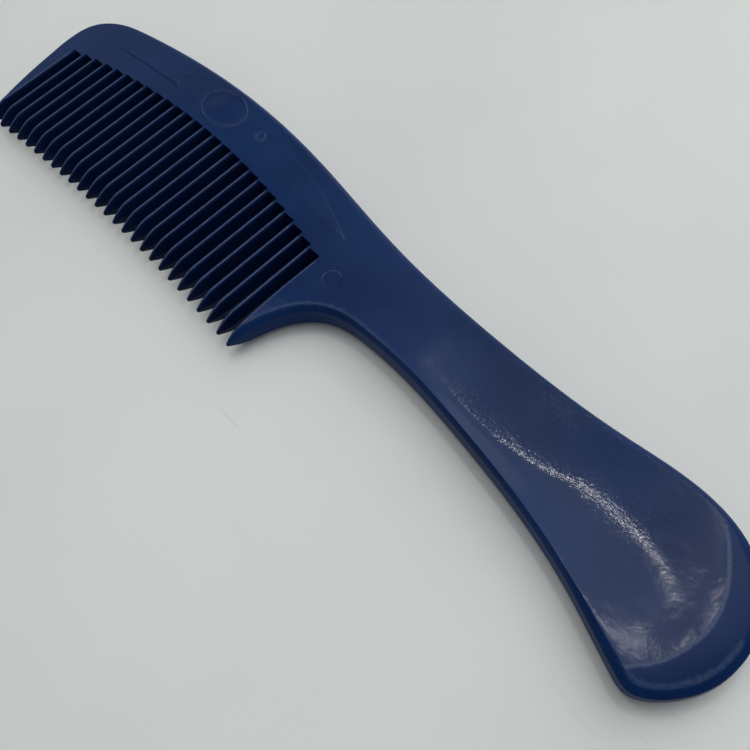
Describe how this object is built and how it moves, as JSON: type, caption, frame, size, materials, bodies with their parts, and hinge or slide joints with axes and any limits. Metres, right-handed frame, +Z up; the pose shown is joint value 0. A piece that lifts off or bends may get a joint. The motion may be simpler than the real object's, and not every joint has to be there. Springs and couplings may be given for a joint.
{
  "type": "handled comb",
  "caption": "Coarse-toothed grooming comb with an arched back, guard teeth at both ends and a long palm-shaped handle with a thumb dish, moulded in one piece.",
  "frame": {"origin": "middle of the comb's plan box, on its flat underside", "axes": "+X along the comb towards the butt of the handle, +Y from the tooth tips towards the back, +Z up off the face that it lies on"},
  "size_m": [0.2163, 0.0492, 0.0072],
  "materials": {
    "comb_plastic": "worn semi-gloss injection-moulded navy blue"
  },
  "bodies": {
    "root": {"back": "comb_plastic", "front_guard_tooth": "comb_plastic", "tooth_01": "comb_plastic", "tooth_02": "comb_plastic", "tooth_03": "comb_plastic", "tooth_04": "comb_plastic", "tooth_05": "comb_plastic", "tooth_06": "comb_plastic", "tooth_07": "comb_plastic", "tooth_08": "comb_plastic", "tooth_09": "comb_plastic", "tooth_10": "comb_plastic", "tooth_11": "comb_plastic", "tooth_12": "comb_plastic", "tooth_13": "comb_plastic", "tooth_14": "comb_plastic", "tooth_15": "comb_plastic", "tooth_16": "comb_plastic", "tooth_17": "comb_plastic", "tooth_18": "comb_plastic", "tooth_19": "comb_plastic", "tooth_20": "comb_plastic", "tooth_21": "comb_plastic", "tooth_22": "comb_plastic", "tooth_23": "comb_plastic", "tooth_24": "comb_plastic", "tooth_25": "comb_plastic", "rear_guard_tooth": "comb_plastic", "neck": "comb_plastic", "handle_grip": "comb_plastic", "handle_butt": "comb_plastic"}
  },
  "joints": []
}
